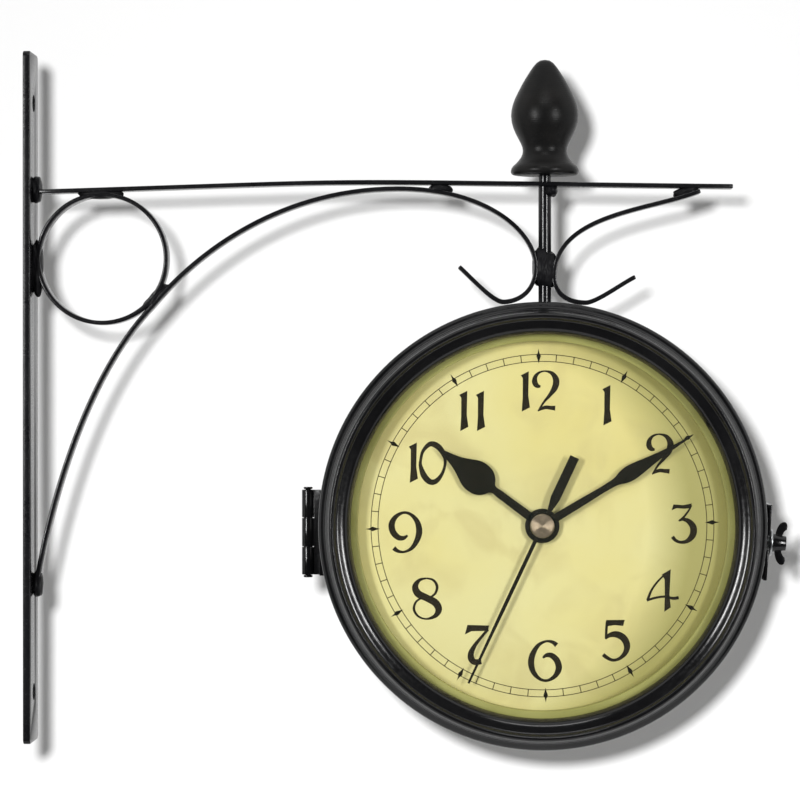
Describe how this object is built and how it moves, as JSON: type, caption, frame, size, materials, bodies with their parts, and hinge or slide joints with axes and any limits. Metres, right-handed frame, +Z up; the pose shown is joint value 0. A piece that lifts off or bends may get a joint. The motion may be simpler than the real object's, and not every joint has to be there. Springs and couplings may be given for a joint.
{
  "type": "double sided wall bracket clock",
  "caption": "Round double sided clock hung from a scrolled iron wall bracket, with a dial and hands on both faces and a hinged, latched front half.",
  "frame": {"origin": "middle of the wall plate's back face, where it meets the wall", "axes": "+X out of the wall along the arm, +Z up, front dial facing -Y"},
  "size_m": [0.3508, 0.078, 0.32],
  "materials": {
    "bracket_paint": "gloss black paint over bent and welded steel strip",
    "finial_wood": "turned wood, satin black",
    "case_paint": "gloss black enamel on pressed steel",
    "zinc_plate": "bright zinc plate",
    "clear_glass": "clear float glass",
    "dial_print": "printed aged cream dial with plain numbers",
    "washer_rubber": "matte",
    "movement_plastic": "moulded black plastic",
    "battery_sleeve": "plain shrink sleeve",
    "hand_paint": "stamped aluminium, black paint"
  },
  "bodies": {
    "bracket": {"wall_plate": "bracket_paint", "arm_bar": "bracket_paint", "ring_scroll": "bracket_paint", "main_brace": "bracket_paint", "end_brace": "bracket_paint", "hanging_rod": "bracket_paint", "finial": "finial_wood", "weld_arm_wall": "bracket_paint", "weld_ring_wall": "bracket_paint", "weld_ring_arm": "bracket_paint", "weld_ring_brace": "bracket_paint", "weld_brace_wall": "bracket_paint", "weld_brace_arm": "bracket_paint", "weld_end_arm": "bracket_paint", "weld_rod_arm": "bracket_paint", "weld_rod_main": "bracket_paint", "weld_rod_end": "bracket_paint", "rod_washer": "zinc_plate", "rod_nut": "zinc_plate", "drum_band": "case_paint", "shell_rivet_1": "zinc_plate", "shell_rivet_2": "zinc_plate", "shell_rivet_3": "zinc_plate", "hinge_leaf_case": "case_paint", "hinge_pin": "zinc_plate", "latch_strap": "case_paint", "latch_rivet_1": "zinc_plate", "latch_rivet_2": "zinc_plate", "rear_shell": "case_paint", "rear_glass": "clear_glass", "rear_spacer_ring": "case_paint", "rear_dial": "dial_print", "rear_retaining_ring": "zinc_plate", "rear_rubber_washer": "washer_rubber", "rear_fixing_nut": "zinc_plate", "rear_movement": "movement_plastic", "rear_battery": "battery_sleeve"},
    "front_case": {"front_shell": "case_paint", "front_glass": "clear_glass", "front_spacer_ring": "case_paint", "front_dial": "dial_print", "front_retaining_ring": "zinc_plate", "front_rubber_washer": "washer_rubber", "front_fixing_nut": "zinc_plate", "front_movement": "movement_plastic", "front_battery": "battery_sleeve", "hinge_leaf_door": "case_paint", "latch_stud": "zinc_plate"},
    "front_minute_hand": {"front_minute_hand": "hand_paint"},
    "front_hour_hand": {"front_hour_hand": "hand_paint"},
    "front_second_hand": {"front_second_hand": "hand_paint"},
    "front_set_knob": {"front_set_knob": "movement_plastic"},
    "rear_minute_hand": {"rear_minute_hand": "hand_paint"},
    "rear_hour_hand": {"rear_hour_hand": "hand_paint"},
    "rear_second_hand": {"rear_second_hand": "hand_paint"},
    "rear_set_knob": {"rear_set_knob": "movement_plastic"},
    "latch_washer": {"latch_washer": "zinc_plate"},
    "wing_nut": {"wing_nut": "case_paint"}
  },
  "joints": [
    {"name": "front_case_hinge", "type": "hinge", "parent": "bracket", "child": "front_case", "pos_m": [0.1316, -0.01015, -0.0618], "axis": [0, 0, -1], "range_deg": [0, 110]},
    {"name": "front_minute_hand_turn", "type": "hinge", "parent": "front_case", "child": "front_minute_hand", "pos_m": [0.239, -0.0225, -0.05822], "axis": [0, 1, 0], "continuous": true},
    {"name": "front_hour_hand_turn", "type": "hinge", "parent": "front_case", "child": "front_hour_hand", "pos_m": [0.239, -0.0225, -0.05822], "axis": [0, 1, 0], "continuous": true},
    {"name": "front_second_hand_turn", "type": "hinge", "parent": "front_case", "child": "front_second_hand", "pos_m": [0.239, -0.0225, -0.05822], "axis": [0, 1, 0], "continuous": true},
    {"name": "front_set_knob_turn", "type": "hinge", "parent": "front_case", "child": "front_set_knob", "pos_m": [0.251, -0.002, -0.05221], "axis": [0, 1, 0], "continuous": true},
    {"name": "rear_minute_hand_turn", "type": "hinge", "parent": "bracket", "child": "rear_minute_hand", "pos_m": [0.239, 0.0225, -0.05822], "axis": [0, -1, 0], "continuous": true},
    {"name": "rear_hour_hand_turn", "type": "hinge", "parent": "bracket", "child": "rear_hour_hand", "pos_m": [0.239, 0.0225, -0.05822], "axis": [0, -1, 0], "continuous": true},
    {"name": "rear_second_hand_turn", "type": "hinge", "parent": "bracket", "child": "rear_second_hand", "pos_m": [0.239, 0.0225, -0.05822], "axis": [0, -1, 0], "continuous": true},
    {"name": "rear_set_knob_turn", "type": "hinge", "parent": "bracket", "child": "rear_set_knob", "pos_m": [0.227, 0.002, -0.05221], "axis": [0, -1, 0], "continuous": true},
    {"name": "latch_washer_slide", "type": "slide", "parent": "front_case", "child": "latch_washer", "axis": [0.9972, 0, -0.075], "range_m": [0, 0.0024]},
    {"name": "wing_nut_turn", "type": "hinge", "parent": "latch_washer", "child": "wing_nut", "pos_m": [0.3442, -0.0152, -0.06613], "axis": [0.9972, 0, -0.075], "range_deg": [0, 1080]}
  ],
  "couplings": [
    {"joint": "front_hour_hand_turn", "follows": "front_minute_hand_turn", "ratio": 0.083333},
    {"joint": "front_second_hand_turn", "follows": "front_minute_hand_turn", "ratio": 60},
    {"joint": "front_set_knob_turn", "follows": "front_minute_hand_turn", "ratio": -0.33333},
    {"joint": "rear_hour_hand_turn", "follows": "rear_minute_hand_turn", "ratio": 0.083333},
    {"joint": "rear_second_hand_turn", "follows": "rear_minute_hand_turn", "ratio": 60},
    {"joint": "rear_set_knob_turn", "follows": "rear_minute_hand_turn", "ratio": -0.33333},
    {"joint": "wing_nut_turn", "follows": "latch_washer_slide", "rad_per_m": 7854}
  ]
}
